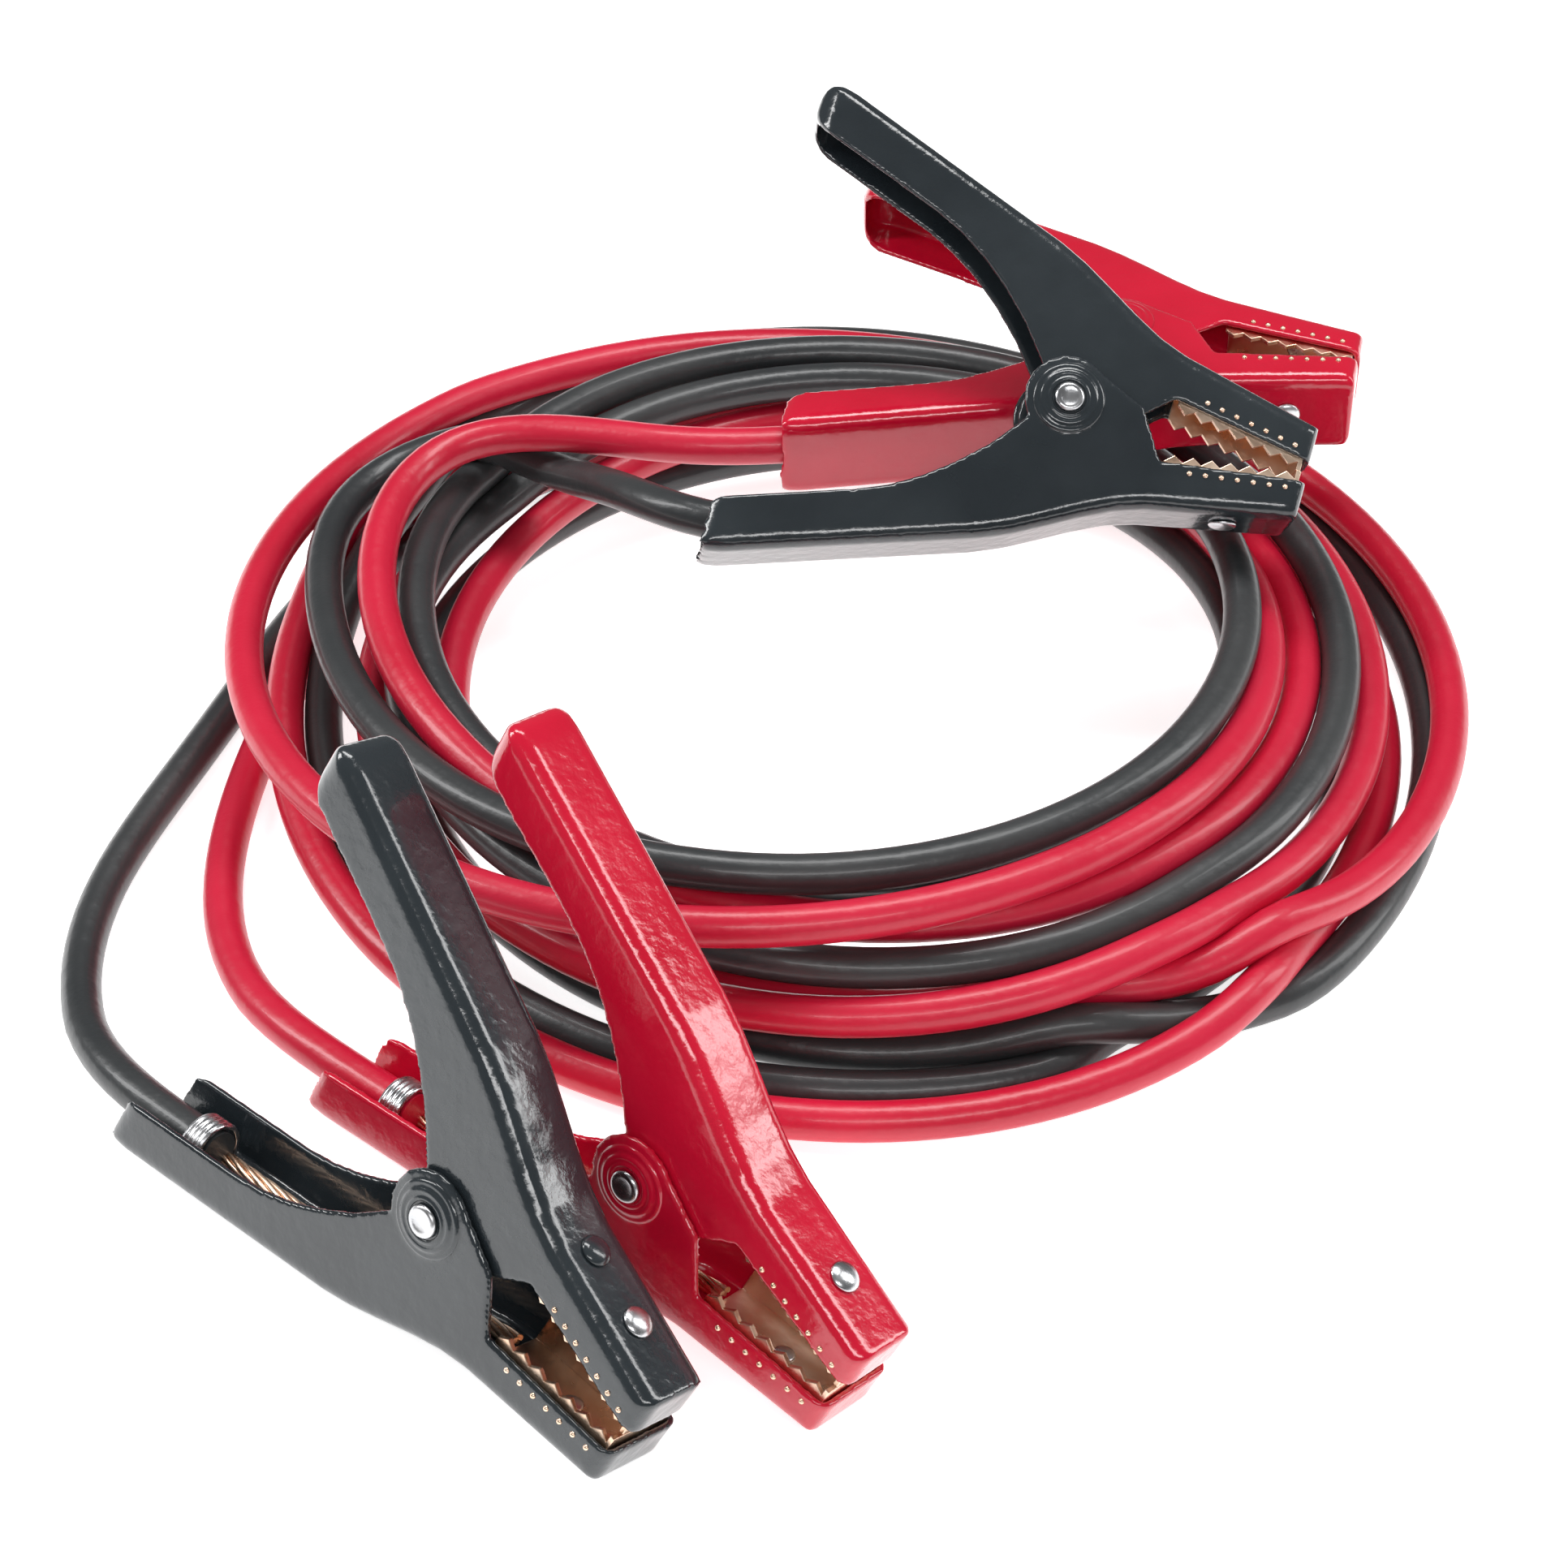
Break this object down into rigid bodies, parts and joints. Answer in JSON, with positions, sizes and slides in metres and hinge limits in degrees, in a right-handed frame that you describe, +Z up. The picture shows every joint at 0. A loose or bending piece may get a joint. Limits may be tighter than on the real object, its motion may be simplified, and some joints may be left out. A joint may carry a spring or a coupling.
{
  "type": "jumper cable set",
  "caption": "Coiled twin red and black battery jumper cables ending in sprung vinyl-coated clamps with toothed copper jaws.",
  "frame": {"origin": "on the floor, under the middle of the box round the four clamps", "axes": "+Z up, +Y from the front clamps towards the back of the coil, +X to the right of the pictured view"},
  "size_m": [0.3589, 0.4237, 0.1451],
  "materials": {
    "red_coat": "glossy dipped vinyl",
    "black_coat": "glossy dipped vinyl",
    "red_cable": "semi-gloss flexible PVC",
    "black_cable": "semi-gloss flexible PVC",
    "copper": "bright copper",
    "steel": "zinc-plated"
  },
  "bodies": {
    "cables_and_lower_levers": {"black_cable_coil": "black_cable", "red_cable_coil": "red_cable", "front_black_lead": "black_cable", "front_red_lead": "red_cable", "back_black_lead": "black_cable", "back_red_lead": "red_cable", "front_black_lower_lever": "black_coat", "front_black_lower_jaw": "copper", "front_black_lower_rivet": "steel", "front_black_pivot_pin": "steel", "front_black_spring": "steel", "front_black_cable_strap": "steel", "front_black_conductor": "copper", "front_red_lower_lever": "red_coat", "front_red_lower_jaw": "copper", "front_red_lower_rivet": "steel", "front_red_pivot_pin": "steel", "front_red_spring": "steel", "front_red_cable_strap": "steel", "front_red_conductor": "copper", "back_black_lower_lever": "black_coat", "back_black_lower_jaw": "copper", "back_black_lower_rivet": "steel", "back_black_pivot_pin": "steel", "back_black_spring": "steel", "back_black_cable_strap": "steel", "back_black_conductor": "copper", "back_red_lower_lever": "red_coat", "back_red_lower_jaw": "copper", "back_red_lower_rivet": "steel", "back_red_pivot_pin": "steel", "back_red_spring": "steel", "back_red_cable_strap": "steel", "back_red_conductor": "copper"},
    "front_black_upper_side": {"front_black_upper_lever": "black_coat", "front_black_upper_jaw": "copper", "front_black_upper_rivet": "steel", "front_black_second_upper_rivet": "black_coat", "front_black_spring_arm": "steel"},
    "front_red_upper_side": {"front_red_upper_lever": "red_coat", "front_red_upper_jaw": "copper", "front_red_upper_rivet": "steel", "front_red_spring_arm": "steel"},
    "back_black_upper_side": {"back_black_upper_lever": "black_coat", "back_black_upper_jaw": "copper", "back_black_upper_rivet": "steel", "back_black_spring_arm": "steel"},
    "back_red_upper_side": {"back_red_upper_lever": "red_coat", "back_red_upper_jaw": "copper", "back_red_upper_rivet": "steel", "back_red_spring_arm": "steel"}
  },
  "joints": [
    {"name": "front_black_pivot", "type": "hinge", "parent": "cables_and_lower_levers", "child": "front_black_upper_side", "pos_m": [-0.06959, -0.15779, 0.0356], "axis": [-0.6165, -0.7092, 0.342], "range_deg": [0, 32], "stiffness_Nm_per_rad": 1.5, "springref_deg": -45.84},
    {"name": "front_red_pivot", "type": "hinge", "parent": "cables_and_lower_levers", "child": "front_red_upper_side", "pos_m": [-0.02659, -0.14579, 0.0356], "axis": [-0.6237, -0.7433, 0.2419], "range_deg": [0, 32], "stiffness_Nm_per_rad": 1.5, "springref_deg": -45.84},
    {"name": "back_black_pivot", "type": "hinge", "parent": "cables_and_lower_levers", "child": "back_black_upper_side", "pos_m": [0.07141, 0.08041, 0.081], "axis": [0.0754, -0.6517, 0.7547], "range_deg": [0, 32], "stiffness_Nm_per_rad": 1.5, "springref_deg": -45.84},
    {"name": "back_red_pivot", "type": "hinge", "parent": "cables_and_lower_levers", "child": "back_red_upper_side", "pos_m": [0.09041, 0.13021, 0.0648], "axis": [-0.0077, -0.034, 0.9994], "range_deg": [0, 32], "stiffness_Nm_per_rad": 1.5, "springref_deg": -45.84}
  ]
}
